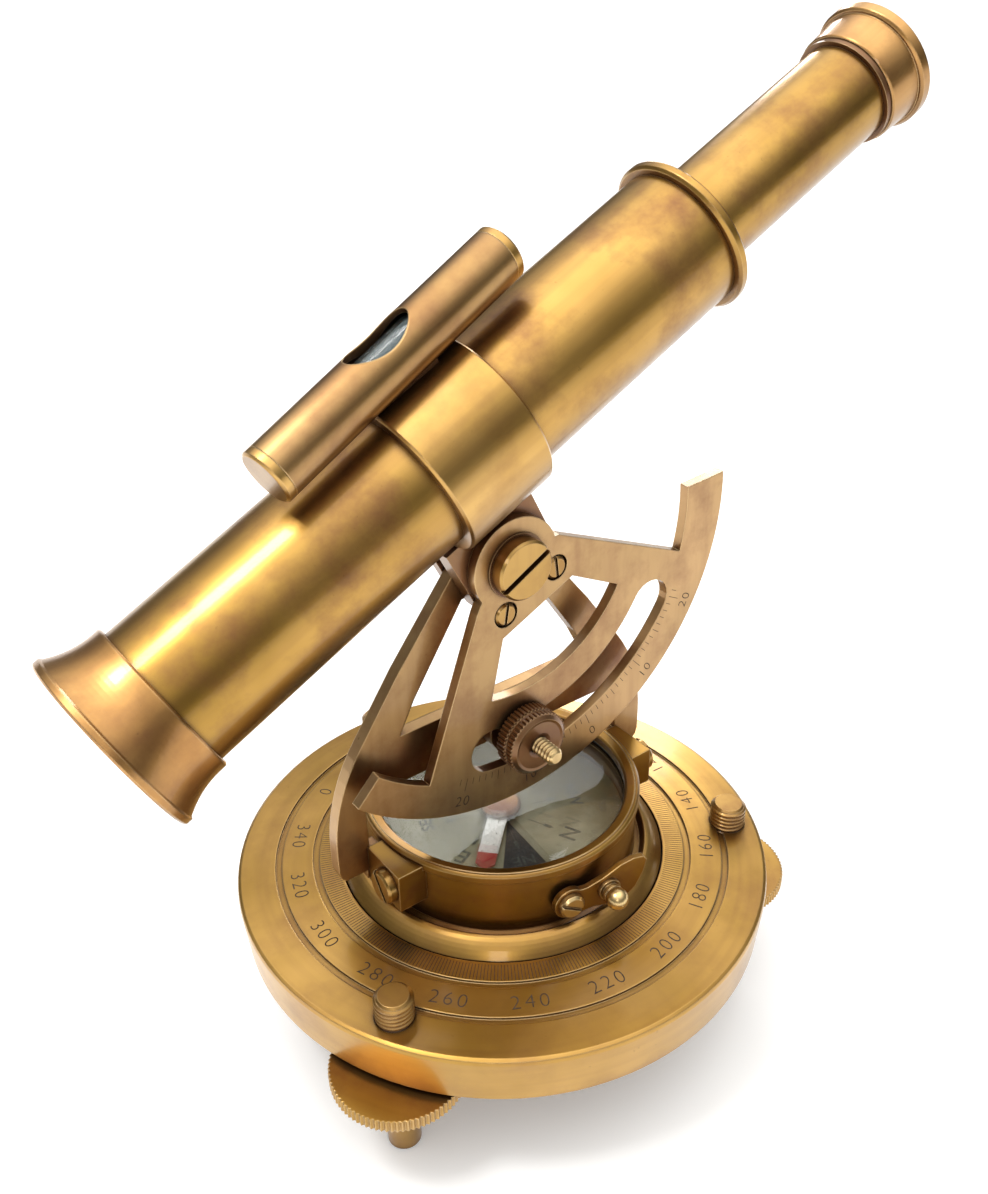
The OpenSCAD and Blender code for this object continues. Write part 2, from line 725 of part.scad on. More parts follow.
module sector_slot() {
    mid = (slot_band_r[0] + slot_band_r[1]) / 2;
    half_w = (slot_band_r[1] - slot_band_r[0]) / 2;
    end_angle = slot_half_angle - asin(half_w / mid);
    steps = 16;
    function at(r, a) = r * [sin(a), -cos(a)];
    polygon(concat(
        [for (i = [-steps:steps]) at(slot_band_r[1], i / steps * end_angle)],
        [for (b = [15:15:165]) at(mid, end_angle) + at(half_w, end_angle + b)],
        [for (i = [steps:-1:-steps]) at(slot_band_r[0], i / steps * end_angle)],
        [for (b = [165:-15:15]) at(mid, -end_angle) + at(half_w, -end_angle - b)]
    ));
}

module sector_window() {
    corner = sector_chord * tan(window_half_angle);
    intersection() {
        circle(r = inner_band_r, $fn = 180);
        polygon([
            [-corner, -sector_chord], [corner, -sector_chord],
            2.5 * [corner, -sector_chord], [0, -limb_inner_r], 2.5 * [-corner, -sector_chord]
        ]);
    }
}

module sector_arms() {
    polygon(concat(
        [[0, 3]], arm_edges[1],
        [for (a = [50:-17:-52]) arm_root_r * [sin(a), -cos(a)]],
        [for (i = [2:-1:0]) arm_edges[0][i]]
    ));
}

module sector_plate() {
    color(brass) on_telescope() difference() {
        rotate([0, -sector_turn, 0]) difference() {
            union() {
                upright_plate(sector_y, sector_t) circle(r = sector_hub_r);
                upright_plate(sector_y, sector_t) limb();
                upright_plate(sector_y, sector_t) sector_arms();
            }
            upright_plate(sector_y - 1, sector_t + 2) sector_window();
            upright_plate(sector_y - 1, sector_t + 2) sector_slot();
        }
        facing_back(sector_y - 1) cylinder(r = pivot_r + seat, h = sector_t + 2);
        for (s = [-1, 1]) rotate([0, -s * sector_screw_at[1], 0]) translate([0, 0, -sector_screw_at[0]]) {
            facing_back(sector_y - 1) cylinder(r = sector_screw_r + seat, h = sector_t + 2);
            facing_front(sector_y + 1.1) cylinder(r = sector_screw_head_r + 0.3, h = 2);
        }
    }
}

module sector_screws() {
    color(bright_brass) on_telescope() for (s = [-1, 1])
        rotate([0, -s * sector_screw_at[1], 0]) translate([0, 0, -sector_screw_at[0]]) {
            facing_front(sector_y + 1.08) slotted_head(sector_screw_head_r, 1.3, 0.6, 0.6, 62 - 33 * s);
            facing_front(-0.2) cylinder(r = sector_screw_r, h = -0.1 - (sector_y + 1.08));
        }
}

// The forked block that hangs the telescope's collar on the A-frame's hub.
module clevis() {
    front_cheek = frame_y - cheek_gap;
    back_cheek = frame_y + frame_t + cheek_gap;
    color(dark_brass) on_telescope() difference() {
        union() {
            translate([-clevis_half_len, clevis_y[0], clevis_low])
                cube([2 * clevis_half_len, clevis_y[1] - clevis_y[0], clevis_high - clevis_low]);
            upright_plate(clevis_y[0], front_cheek - clevis_y[0]) for (s = [-1, 1])
                rotate(s * sector_screw_at[1]) translate([-2.8, -sector_screw_at[0] - 2]) square([5.6, 9]);
        }
        translate([-20, front_cheek, -20]) cube([40, back_cheek - front_cheek, 20 + clevis_slot_top]);
        translate([-20, 0, axis_w]) rotate([0, 90, 0]) cylinder(r = collar_r + seat, h = 40, $fn = 120);
        facing_front(10) cylinder(r = pivot_r + seat, h = 20);
        for (s = [-1, 1]) rotate([0, -s * sector_screw_at[1], 0]) translate([0, 0, -sector_screw_at[0]])
            facing_front(2) cylinder(r = sector_screw_r + seat, h = 8);
    }
}

module pivot_screw() {
    head_y = sector_y - pivot_washer_t - seat;
    color(brass) on_telescope() {
        facing_front(head_y) slotted_head(pivot_head_r, pivot_head_h, 1.1, 1.1, 2);
        facing_back(head_y - 0.1) cylinder(r = pivot_r, h = clevis_y[1] + 3 - head_y);
    }
}

module pivot_washer() {
    color(dark_brass) on_telescope() facing_front(sector_y - seat)
        ring(pivot_washer_r, pivot_r + seat, pivot_washer_t - seat);
}

module pivot_nut() {
    color(brass) on_telescope() facing_back(clevis_y[1] + seat) difference() {
        cylinder(r = 4.2, h = 2.4, $fn = 6);
        translate([0, 0, -1]) cylinder(r = pivot_r + seat, h = 5);
    }
}

// ---- telescope ----

module collar() {
    len = collar_span[1] - collar_span[0];
    color(brass) along_tube(collar_span[0]) rotate_extrude($fn = 120) polygon([
        [tube_r + seat, 0], [collar_r - edge, 0], [collar_r, edge],
        [collar_r, len - edge], [collar_r - edge, len], [tube_r + seat, len]
    ]);
}

module main_tube() {
    color(brass) along_tube(tube_span[0])
        ring(tube_r, tube_r - tube_wall, tube_span[1] - tube_span[0], $fn = 120);
}

// The flared objective bell, slipped over the front of the main tube.
module objective_bell() {
    len = bell_span[1] - bell_span[0];
    flare = len - bell_rim_t - 1;
    rim_z = bell_rim_t;
    function flare_r(k) = bell_neck_r + (bell_mouth_r - 0.4 - bell_neck_r) * pow(k, 2.2);
    color(brass) along_tube(bell_span[0]) rotate_extrude($fn = 120) polygon(concat(
        [
            [bell_mouth_r - 1.6, 0], [bell_mouth_r - 0.3, 0], [bell_mouth_r, 0.3],
            [bell_mouth_r, rim_z - 0.3], [bell_mouth_r - 0.4, rim_z]
        ],
        [for (k = [0.9:-0.1:0]) [flare_r(k), rim_z + (1 - k) * flare]],
        [
            [bell_neck_r, len - 0.3], [bell_neck_r - 0.3, len],
            [tube_r + seat, len], [tube_r + seat, tube_span[0] - bell_span[0] - seat],
            [bell_bore_r, tube_span[0] - bell_span[0] - seat], [bell_bore_r, 5.6]
        ],
        [for (k = [0:0.2:0.8]) [bell_bore_r + (bell_mouth_r - 1.6 - bell_bore_r) * pow(k, 2), 5.6 * (1 - k)]]
    ));
}

// A plano-convex objective, its curved face outwards.
module objective_lens() {
    steps = 8;
    function face(r) = lens_curve_r - sqrt(pow(lens_curve_r, 2) - pow(r, 2));
    color([0.75, 0.85, 0.95, 0.5]) along_tube(lens_edge_t - face(lens_r)) rotate_extrude($fn = 120)
        polygon(concat(
            [for (i = [0:steps]) [lens_r * i / steps, face(lens_r * i / steps)]],
            [[lens_r, lens_t + face(lens_r)], [0, lens_t + face(lens_r)]]
        ));
}

// The two threaded rings that hold the objective from either side.
module lens_rings() {
    for (t = [tube_span[0], lens_edge_t + lens_t + seat])
        color(dark_brass) along_tube(t) ring(lens_r, lens_r - 1.5, lens_ring_t);
}

module tube_end_ring() {
    color(brass) along_tube(tube_span[1] + seat) rotate_extrude($fn = 120) polygon([
        [draw_r + 0.3, 0], [end_ring_r - 0.5, 0], [end_ring_r, 0.5],
        [end_ring_r, end_ring_t - 0.5], [end_ring_r - 0.5, end_ring_t], [draw_r + 0.3, end_ring_t]
    ]);
}

// The sleeve that guides the draw tube inside the main tube.
module draw_bush() {
    color(bright_brass) along_tube(tube_span[1] - bush_len)
        ring(tube_r - tube_wall - seat, draw_r + running, bush_len, $fn = 120);
}

// ---- draw tube and eyepiece ----

module draw_tube() {
    color(brass) along_tube(eyepiece_start - draw_out - end_ring_t - draw_hidden)
        ring(draw_r, draw_r - draw_wall, draw_out + end_ring_t + draw_hidden, $fn = 120);
}

module draw_stop() {
    color(dark_brass) along_tube(eyepiece_start - draw_out - end_ring_t - draw_hidden)
        ring(draw_r - draw_wall - seat, 5, 1.2);
}

module eyepiece_ring() {
    color(dark_brass) along_tube(eyepiece_start + seat)
        ring(eyepiece_ring_r, draw_r - draw_wall - 1, eyepiece_ring_t - seat);
}

module eyepiece_cup() {
    body_len = eyepiece_len - eyepiece_ring_t - seat - eyepiece_rim_t;
    color(brass) along_tube(eyepiece_start + eyepiece_ring_t + seat) rotate_extrude($fn = 120) polygon([
        [7, 0], [eyepiece_r - 0.2, 0], [eyepiece_r, 0.3],
        [eyepiece_r + 0.3, body_len - 0.6], [eyepiece_r + 0.4, body_len],
        [eyepiece_rim_r - 0.4, body_len], [eyepiece_rim_r, body_len + 0.4],
        [eyepiece_rim_r, body_len + eyepiece_rim_t - 0.5], [eyepiece_rim_r - 0.5, body_len + eyepiece_rim_t],
        [eyepiece_rim_r - 1.5, body_len + eyepiece_rim_t],
        [eyepiece_rim_r - 2.2, body_len + eyepiece_rim_t - 0.7],
        [4.5, body_len + eyepiece_rim_t - 2.2], [4.5, body_len - 0.8], [7, body_len - 0.8]
    ]);
}

module eye_lens() {
    color([0.75, 0.85, 0.95, 0.5]) along_tube(eyepiece_start + eyepiece_ring_t + 2.4)
        cylinder(r = 6.9, h = 1.8);
}

// ---- spirit level ----

module level_saddle() {
    color(dark_brass) difference() {
        on_telescope() translate([level_saddle_span[0], -level_saddle_w / 2, axis_w + collar_r - 1])
            cube([level_saddle_span[1] - level_saddle_span[0], level_saddle_w, 3.4]);
        along_tube(-20) cylinder(r = collar_r + seat, h = 40, $fn = 360);
        on_level() rotate([0, 90, 0]) translate([0, 0, -20]) cylinder(r = level_r + seat, h = 40, $fn = 360);
    }
}

module level_tube() {
    body_len = level_len - 2 * level_cap_t;
    color(brass) on_level() difference() {
        translate([-body_len / 2, 0, 0]) rotate([0, 90, 0]) ring(level_r, level_r - level_wall, body_len);
        linear_extrude(height = 10) polygon([
            for (a = [0:9:351]) [level_window[0] / 2 * cos(a), level_window[1] / 2 * sin(a)]
        ]);
    }
}

module level_caps() {
    half = level_len / 2;
    for (s = [-1, 1]) color(bright_brass) on_level() rotate([0, s * 90, 0]) {
        translate([0, 0, half - level_cap_t + seat]) cylinder(r = level_r, h = level_cap_t - edge - seat);
        translate([0, 0, half - edge]) cylinder(r1 = level_r, r2 = level_r - edge, h = edge);
        translate([0, 0, half - level_cap_t - 2]) cylinder(r = level_r - level_wall - seat, h = 2.1);
    }
}

module level_vial() {
    color([0.7, 0.85, 0.75, 0.5]) on_level() rotate([0, 90, 0]) difference() {
        translate([0, 0, -vial_len / 2]) cylinder(r = vial_r, h = vial_len);
        translate([0, 0, 1 - vial_len / 2]) cylinder(r = vial_r - vial_wall, h = vial_len - 2);
    }
}

module level_fluid() {
    len = vial_len - 2 - 2 * seat;
    color([0.6, 0.75, 0.2, 0.6]) on_level() rotate([0, 90, 0])
        translate([0, 0, -len / 2]) cylinder(r = vial_r - vial_wall - seat, h = len);
}

base_plate();
spindle_bush();
level_screw(0);  // level_screw_1
level_screw(1);  // level_screw_2
level_screw(2);  // level_screw_3
level_wheel(0);  // level_wheel_1
level_wheel(1);  // level_wheel_2
level_wheel(2);  // level_wheel_3
turntable();
compass_drum();
spindle();
spindle_washer();
spindle_nut();
compass_dial();
needle_post();
compass_glass();
glass_gasket();
bezel_ring();
compass_needle();
needle_cap();
needle_lifter();
lifter_bracket();
lock_lever();
lock_shaft();
lock_knob();
frame_lugs();
lug_screws();
a_frame();
frame_screws();
clamp_stud();
clamp_washer();
stud_nut();
clamp_nut();
clevis();
pivot_screw();
pivot_washer();
pivot_nut();
sector_plate();
sector_screws();
collar();
main_tube();
objective_bell();
objective_lens();
lens_rings();
tube_end_ring();
draw_bush();
level_saddle();
level_tube();
level_caps();
level_vial();
level_fluid();
draw_tube();
draw_stop();
eyepiece_ring();
eyepiece_cup();
eye_lens();
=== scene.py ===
import json
import math

import bmesh
import bpy
from mathutils import Matrix, Vector


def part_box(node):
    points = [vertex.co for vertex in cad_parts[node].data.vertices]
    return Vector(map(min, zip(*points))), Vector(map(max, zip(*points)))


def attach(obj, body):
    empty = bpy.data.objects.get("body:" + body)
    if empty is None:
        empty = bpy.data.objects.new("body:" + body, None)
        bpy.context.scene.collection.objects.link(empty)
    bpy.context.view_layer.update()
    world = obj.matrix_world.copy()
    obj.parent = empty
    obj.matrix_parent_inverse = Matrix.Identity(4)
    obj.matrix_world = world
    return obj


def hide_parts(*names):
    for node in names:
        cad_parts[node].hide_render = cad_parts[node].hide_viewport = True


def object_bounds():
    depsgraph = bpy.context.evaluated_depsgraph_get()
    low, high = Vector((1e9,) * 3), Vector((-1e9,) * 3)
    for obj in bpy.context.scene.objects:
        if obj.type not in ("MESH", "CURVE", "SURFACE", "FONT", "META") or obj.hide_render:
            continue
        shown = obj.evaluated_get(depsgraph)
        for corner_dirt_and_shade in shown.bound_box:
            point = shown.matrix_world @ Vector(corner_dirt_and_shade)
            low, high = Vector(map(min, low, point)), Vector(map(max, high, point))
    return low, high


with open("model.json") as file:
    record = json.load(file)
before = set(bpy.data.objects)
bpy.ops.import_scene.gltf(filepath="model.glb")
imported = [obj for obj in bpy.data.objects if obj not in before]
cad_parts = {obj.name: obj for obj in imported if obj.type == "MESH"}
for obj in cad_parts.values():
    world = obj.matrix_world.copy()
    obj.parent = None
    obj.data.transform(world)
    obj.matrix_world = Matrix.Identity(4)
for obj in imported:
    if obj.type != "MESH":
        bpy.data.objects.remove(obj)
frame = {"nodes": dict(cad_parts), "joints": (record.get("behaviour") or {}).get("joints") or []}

cad_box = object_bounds()
NODES = frame["nodes"]
MM = 0.001

# ---- places that come from the frame ----

JOINTS = {j["name"]: j for j in frame["joints"]}
PIVOT = Vector(JOINTS["telescope_tilt"]["pos_m"])
TUBE = Vector(JOINTS["draw_tube_slide"]["axis"])
TILT = math.atan2(TUBE.z, TUBE.x)

# ---- places that repeat part.scad's values ----

RIM_Z = 31 * MM             # top of the base at its rim
BASE_R = 50.6 * MM
BASE_CONE = 0.05            # how far the base's top rises for each unit inwards
LEVEL_ASKEW = 5.7           # degrees that the level is turned on its collar
NEEDLE_AZIMUTH = -137       # degrees, of the needle's red end


def telescope_matrix():
    """The telescope's own frame: X along the tube, Z away from the pivot."""
    return Matrix.Translation(PIVOT) @ Matrix.Rotation(-TILT, 4, "Y")


# ---- shader helpers ----

class Shader:
    """A thin wrapper that adds nodes to one material and links them by name."""

    def __init__(self, name):
        self.material = bpy.data.materials.new(name)
        self.material.use_nodes = True
        self.tree = self.material.node_tree
        self.tree.nodes.clear()
        out = self.tree.nodes.new("ShaderNodeOutputMaterial")
        self.bsdf = self.tree.nodes.new("ShaderNodeBsdfPrincipled")
        self.link(self.bsdf.outputs[0], out.inputs["Surface"])
        self.coords = self.tree.nodes.new("ShaderNodeTexCoord").outputs["Object"]

    def link(self, a, b):
        self.tree.links.new(a, b)

    def set(self, **values):
        for name, value in values.items():
            self.bsdf.inputs[name.replace("_", " ")].default_value = value

    def put(self, socket, source):
        if hasattr(source, "is_output"):
            self.link(source, socket)
        else:
            socket.default_value = source

    def math(self, kind, a, b=0.0, clamp=False):
        node = self.tree.nodes.new("ShaderNodeMath")
        node.operation = kind
        node.use_clamp = clamp
        self.put(node.inputs[0], a)
        self.put(node.inputs[1], b)
        return node.outputs[0]

    def vector(self, kind, a, b=(0, 0, 0)):
        node = self.tree.nodes.new("ShaderNodeVectorMath")
        node.operation = kind
        self.put(node.inputs[0], a)
        self.put(node.inputs[1], b)
        return node.outputs["Value" if kind == "DOT_PRODUCT" else "Vector"]

    def split(self, vector):
        node = self.tree.nodes.new("ShaderNodeSeparateXYZ")
        self.link(vector, node.inputs[0])
        return node.outputs

    def join(self, x, y, z):
        node = self.tree.nodes.new("ShaderNodeCombineXYZ")
        for socket, value in zip(node.inputs, (x, y, z)):
            self.put(socket, value)
        return node.outputs[0]

    def noise(self, vector, scale, detail, roughness):
        node = self.tree.nodes.new("ShaderNodeTexNoise")
        self.link(vector, node.inputs["Vector"])
        node.inputs["Scale"].default_value = scale
        node.inputs["Detail"].default_value = detail
        node.inputs["Roughness"].default_value = roughness
        return node.outputs["Fac"]

    def ramp(self, fac, *stops):
        """A ramp from stops of (place, value)."""
        node = self.tree.nodes.new("ShaderNodeValToRGB")
        self.link(fac, node.inputs[0])
        elements = node.color_ramp.elements
        while len(elements) < len(stops):
            elements.new(0.5)
        for element, (place, value) in zip(elements, stops):
            element.position = place
            element.color = (value, value, value, 1)
        return node.outputs[0]

    def mix(self, fac, a, b):
        node = self.tree.nodes.new("ShaderNodeMix")
        node.data_type = "RGBA"
        self.put(node.inputs["Factor"], fac)
        self.put(node.inputs[6], (*a, 1) if isinstance(a, tuple) else a)
        self.put(node.inputs[7], (*b, 1) if isinstance(b, tuple) else b)
        return node.outputs[2]

    def bump(self, height, strength, distance, normal=None):
        node = self.tree.nodes.new("ShaderNodeBump")
        self.link(height, node.inputs["Height"])
        node.inputs["Strength"].default_value = strength
        node.inputs["Distance"].default_value = distance
        if normal is not None:
            self.link(normal, node.inputs["Normal"])
        return node.outputs[0]

    def edges(self, radius):
        """1 on convex and concave edges, 0 on open faces, and the rounded normal."""
        bevel = self.tree.nodes.new("ShaderNodeBevel")
        bevel.samples = 6
        bevel.inputs["Radius"].default_value = radius
        geometry = self.tree.nodes.new("ShaderNodeNewGeometry")
        dot = self.vector("DOT_PRODUCT", bevel.outputs[0], geometry.outputs["Normal"])
        return self.ramp(dot, (0.80, 1.0), (0.985, 0.0)), bevel.outputs[0]

    def crevice(self, distance):
        """1 in corners and gaps, 0 in the open."""
        node = self.tree.nodes.new("ShaderNodeAmbientOcclusion")
        node.samples = 6
        node.inputs["Distance"].default_value = distance
        return self.ramp(node.outputs["AO"], (0.25, 1.0), (0.85, 0.0))


# ---- brass ----

OLIVE_GOLD = (0.38, 0.215, 0.040)
WARM_GOLD = (0.54, 0.315, 0.080)
RED_PATINA = (0.19, 0.075, 0.035)
DARK_PATINA_AND_SHADE = (0.035, 0.015, 0.006)
WORN_EDGE_AND_HIGHLIGHT = (0.80, 0.58, 0.30)
PAINTED_UNDERSIDE_SHADE = (0.16, 0.085, 0.030)

# noise scales, per metre: wide patches of tone, bloom, specks and tool marks
TONE_SCALE = 24
BLOOM_SCALE = 85
SPECK_SCALE = 900
MARK_SCALE = 2600
BROAD_MARK_SCALE = 420

STREAKS = 0.25              # how much the broad tool marks redden
SPECKS = 0.35
BLOOM_REACH = 10.0 * MM     # bloom gathers this far around the joints between parts
CORNER_REACH = 2.2 * MM     # dirt and painted shade gather this far into a corner
DENT_DEPTH = 0.05 * MM
MARK_DEPTH = 0.008 * MM


def brushed_coordinates(sh, grain):
    """Coordinates in which fine noise becomes the tool marks of that kind of work."""
    if grain == "tube":
        along = sh.vector("DOT_PRODUCT", sh.coords, tuple(TUBE))
        across = sh.vector("DOT_PRODUCT", sh.coords, (-TUBE.z, 0.0, TUBE.x))
        return sh.join(sh.math("MULTIPLY", along, 0.04), sh.split(sh.coords)[1], across)
    if grain == "turned":
        x, y, z = sh.split(sh.coords)
        radius = sh.math("SQRT", sh.math("ADD", sh.math("MULTIPLY", x, x), sh.math("MULTIPLY", y, y)))
        drift = sh.vector("MULTIPLY", sh.coords, (0.05, 0.05, 0.05))
        return sh.vector("ADD", sh.join(radius, z, 0.0), drift)
    # "plate": long straight strokes up the face
    return sh.vector("MULTIPLY", sh.coords, (1.0, 0.35, 0.12))


def brass(name, grain="tube", base=OLIVE_GOLD, warm=WARM_GOLD, patina=0.75, rough=0.31,
          edge=0.35 * MM, wear_and_highlight=0.8, dirt_and_shade=0.9, underside_shade=0.85, seed=0.0):
    """Old brass: two golds, reddish bloom, dark dirt and painted shade in corners, painted shade on the
    undersides, bright edges that are partly wear and partly a painted highlight, and tool marks.
    """
    sh = Shader(name)
    cloud = sh.vector("ADD", sh.coords, (seed, seed * 0.7, -seed * 0.4))
    large = sh.noise(cloud, TONE_SCALE, 4, 0.6)
    medium = sh.noise(cloud, BLOOM_SCALE, 5, 0.62)
    fine = sh.noise(cloud, SPECK_SCALE, 4, 0.6)
    marks_at = brushed_coordinates(sh, grain)
    marks = sh.noise(marks_at, MARK_SCALE, 5, 0.7)
    broad_marks = sh.noise(marks_at, BROAD_MARK_SCALE, 3, 0.5)
    colour = sh.mix(sh.ramp(large, (0.36, 0.0), (0.62, 1.0)), base, warm)
    bloom = sh.math("MULTIPLY", sh.ramp(medium, (0.46, 0.0), (0.72, 1.0)), patina, True)
    colour = sh.mix(bloom, colour, RED_PATINA)
    streak = sh.math("MULTIPLY", sh.ramp(broad_marks, (0.45, 0.0), (0.75, 1.0)), STREAKS)
    colour = sh.mix(streak, colour, RED_PATINA)
    specks = sh.math("MULTIPLY", sh.ramp(fine, (0.68, 0.0), (0.78, 1.0)), SPECKS)
    colour = sh.mix(specks, colour, DARK_PATINA_AND_SHADE)
    # painted shade: faces that point down are darkened, standing in for the shade under things
    geometry = sh.tree.nodes.new("ShaderNodeNewGeometry")
    underside_shade_mask = sh.ramp(sh.math("MULTIPLY", sh.split(geometry.outputs["Normal"])[2], -1.0),
                          (0.05, 0.0), (0.65, underside_shade))
    colour = sh.mix(underside_shade_mask, colour, PAINTED_UNDERSIDE_SHADE)
    near = sh.math("MULTIPLY", sh.crevice(BLOOM_REACH), sh.ramp(medium, (0.35, 0.35), (0.6, 0.95)))
    colour = sh.mix(near, colour, RED_PATINA)
    # dark dirt and painted shade in corners and gaps, from ambient occlusion
    corner_dirt_and_shade = sh.math("MULTIPLY", sh.crevice(CORNER_REACH), dirt_and_shade, True)
    colour = sh.mix(corner_dirt_and_shade, colour, DARK_PATINA_AND_SHADE)
    # bright edges: partly worn metal, partly a painted highlight along every edge, concave ones too
    edge_mask, round_normal = sh.edges(edge)
    worn_and_highlit = sh.math("MULTIPLY", edge_mask, sh.ramp(medium, (0.30, 0.35), (0.60, 1.0)))
    worn_and_highlit = sh.math("MULTIPLY", worn_and_highlit, wear_and_highlight, True)
    colour = sh.mix(worn_and_highlit, colour, WORN_EDGE_AND_HIGHLIGHT)
    sh.link(colour, sh.bsdf.inputs["Base Color"])
    roughness = sh.math("ADD", rough - 0.06, sh.math("MULTIPLY", marks, 0.10))
    roughness = sh.math("ADD", roughness, sh.math("MULTIPLY", bloom, 0.10))
    roughness = sh.math("ADD", roughness, sh.math("MULTIPLY", corner_dirt_and_shade, 0.25))
    roughness = sh.math("ADD", roughness, sh.math("MULTIPLY", sh.ramp(large, (0.3, 0.0), (0.7, 1.0)), 0.06))
    sh.link(roughness, sh.bsdf.inputs["Roughness"])
    height = sh.math("ADD", marks, sh.math("MULTIPLY", fine, 0.5))
    dents = sh.bump(medium, 0.25, DENT_DEPTH, round_normal)
    sh.link(sh.bump(height, 0.14, MARK_DEPTH, dents), sh.bsdf.inputs["Normal"])
    sh.set(Metallic=1.0, Coat_Weight=0.35, Coat_Roughness=0.10)
    return sh.material


# ---- steel, glass, dial and the rest ----

CLEAN_STEEL = (0.62, 0.61, 0.58)
STAINED_STEEL = (0.25, 0.22, 0.18)
NEEDLE_TONES = ((0.62, 0.63, 0.60), (0.78, 0.78, 0.74))
NEEDLE_RED = (0.34, 0.012, 0.010)
RED_FROM = 13.2 * MM        # the red tip starts this far from the needle's middle
SILVERING = (0.37, 0.355, 0.245)
AGED_SILVERING = (0.22, 0.21, 0.12)
STAIN_GROWTH = (20.0, 14.0, 0.0)    # the dial's stain deepens this way, per metre
DIAL_STAIN = (0.075, 0.065, 0.022)
DIAL_SPECKS = (0.10, 0.09, 0.045)
DIAL_DIRT_AND_SHADE = (0.04, 0.035, 0.015)
GRAIN_DEPTH = 0.01 * MM     # bump of fine-grained faces
COARSE_DEPTH = 0.02 * MM    # bump of ink, rubber and the liquid's haze


def steel():
    sh = Shader("bare_steel")
    marks = sh.noise(sh.vector("MULTIPLY", sh.coords, (1.0, 0.2, 1.0)), 2200, 4, 0.6)
    stain = sh.noise(sh.coords, 300, 4, 0.6)
    colour = sh.mix(sh.ramp(stain, (0.5, 0.0), (0.75, 0.6)), CLEAN_STEEL, STAINED_STEEL)
    sh.link(colour, sh.bsdf.inputs["Base Color"])
    sh.link(sh.math("ADD", 0.18, sh.math("MULTIPLY", marks, 0.2)), sh.bsdf.inputs["Roughness"])
    sh.link(sh.bump(marks, 0.2, GRAIN_DEPTH), sh.bsdf.inputs["Normal"])
    sh.set(Metallic=1.0)
    return sh.material


def needle_steel():
    """Bright steel with a red tip on the north half."""
    azimuth = math.radians(NEEDLE_AZIMUTH)
    sh = Shader("needle_steel")
    marks = sh.noise(sh.coords, 1800, 4, 0.6)
    along = sh.vector("DOT_PRODUCT", sh.coords, (math.cos(azimuth), math.sin(azimuth), 0))
    red = sh.math("GREATER_THAN", along, RED_FROM)
    colour = sh.mix(sh.ramp(marks, (0.3, 0.0), (0.7, 1.0)), *NEEDLE_TONES)
    colour = sh.mix(red, colour, NEEDLE_RED)
    sh.link(colour, sh.bsdf.inputs["Base Color"])
    sh.link(sh.math("SUBTRACT", 0.9, sh.math("MULTIPLY", red, 0.9)), sh.bsdf.inputs["Metallic"])
    sh.link(sh.math("ADD", 0.2, sh.math("MULTIPLY", marks, 0.2)), sh.bsdf.inputs["Roughness"])
    return sh.material


def glass(name, tint=(0.93, 0.97, 0.94), alpha=0.22, rough=0.03):
    """Clear glass with faint smudges."""
    sh = Shader(name)
    smudge = sh.noise(sh.coords, 160, 4, 0.6)
    haze = sh.math("MULTIPLY", sh.ramp(smudge, (0.45, 0.0), (0.8, 1.0)), 0.08)
    sh.link(sh.math("ADD", rough, haze), sh.bsdf.inputs["Roughness"])
    colour = sh.mix(smudge, tint, tuple(0.94 * c for c in tint))
    sh.link(colour, sh.bsdf.inputs["Base Color"])
    sh.set(IOR=1.5, Alpha=alpha, Transmission_Weight=1.0)
    return sh.material


def dial_paper():
    """Silvered card gone grey-green, mottled with age."""
    sh = Shader("dial_silvering")
    large = sh.noise(sh.coords, 55, 4, 0.6)
    fine = sh.noise(sh.coords, 700, 5, 0.65)
    colour = sh.mix(sh.ramp(large, (0.36, 0.0), (0.60, 1.0)), SILVERING, AGED_SILVERING)
    across = sh.vector("DOT_PRODUCT", sh.coords, STAIN_GROWTH)
    stain = sh.math("ADD", sh.math("ADD", across, 0.1), large)
    colour = sh.mix(sh.ramp(stain, (0.45, 0.0), (0.85, 0.85)), colour, DIAL_STAIN)
    colour = sh.mix(sh.ramp(fine, (0.55, 0.0), (0.8, 0.6)), colour, DIAL_SPECKS)
    # dirt and painted shade in the dial's corners, from ambient occlusion
    corner_dirt_and_shade = sh.math("MULTIPLY", sh.crevice(4 * MM), 0.8)
    colour = sh.mix(corner_dirt_and_shade, colour, DIAL_DIRT_AND_SHADE)
    sh.link(colour, sh.bsdf.inputs["Base Color"])
    sh.link(sh.math("ADD", 0.35, sh.math("MULTIPLY", fine, 0.25)), sh.bsdf.inputs["Roughness"])
    sh.link(sh.bump(fine, 0.15, GRAIN_DEPTH), sh.bsdf.inputs["Normal"])
    sh.set(Metallic=0.25)
    return sh.material


def ink(name, colour=(0.035, 0.022, 0.012), rough=0.55, metallic=0.4):
    """Old filler in engraved lines, print on the dial, and the black of a painted reflection on the dial.
    """
    sh = Shader(name)
    grain = sh.noise(sh.coords, 1500, 4, 0.6)
    lighter = tuple(min(1, 3.2 * c + 0.02) for c in colour)
    sh.link(sh.mix(sh.ramp(grain, (0.45, 0.0), (0.75, 1.0)), colour, lighter), sh.bsdf.inputs["Base Color"])
    sh.link(sh.math("ADD", rough, sh.math("MULTIPLY", grain, 0.2)), sh.bsdf.inputs["Roughness"])
    sh.link(sh.bump(grain, 0.3, COARSE_DEPTH), sh.bsdf.inputs["Normal"])
    sh.set(Metallic=metallic)
    return sh.material


